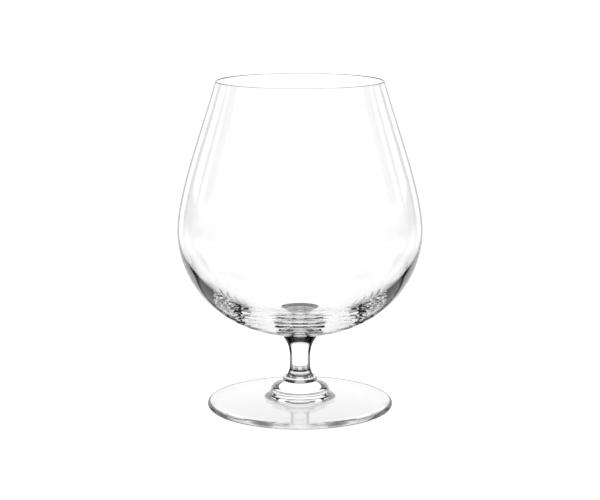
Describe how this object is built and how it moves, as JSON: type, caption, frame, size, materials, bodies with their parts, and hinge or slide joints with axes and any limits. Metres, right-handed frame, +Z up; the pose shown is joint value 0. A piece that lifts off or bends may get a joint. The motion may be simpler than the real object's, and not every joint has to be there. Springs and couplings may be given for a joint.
{
  "type": "brandy snifter",
  "caption": "Clear glass brandy snifter: a wide balloon bowl that narrows to the lip, on a short waisted stem with a ring and a round foot.",
  "frame": {"origin": "centre of the foot, in the plane that the glass stands on", "axes": "+Z up along the axis of the glass; the glass is the same all round, so X and Y are free"},
  "size_m": [0.1118, 0.1118, 0.15],
  "materials": {
    "clear_glass": "fire-polished clear glass"
  },
  "bodies": {
    "root": {"bowl": "clear_glass", "stem": "clear_glass", "stem_ring": "clear_glass", "foot": "clear_glass"}
  },
  "joints": []
}
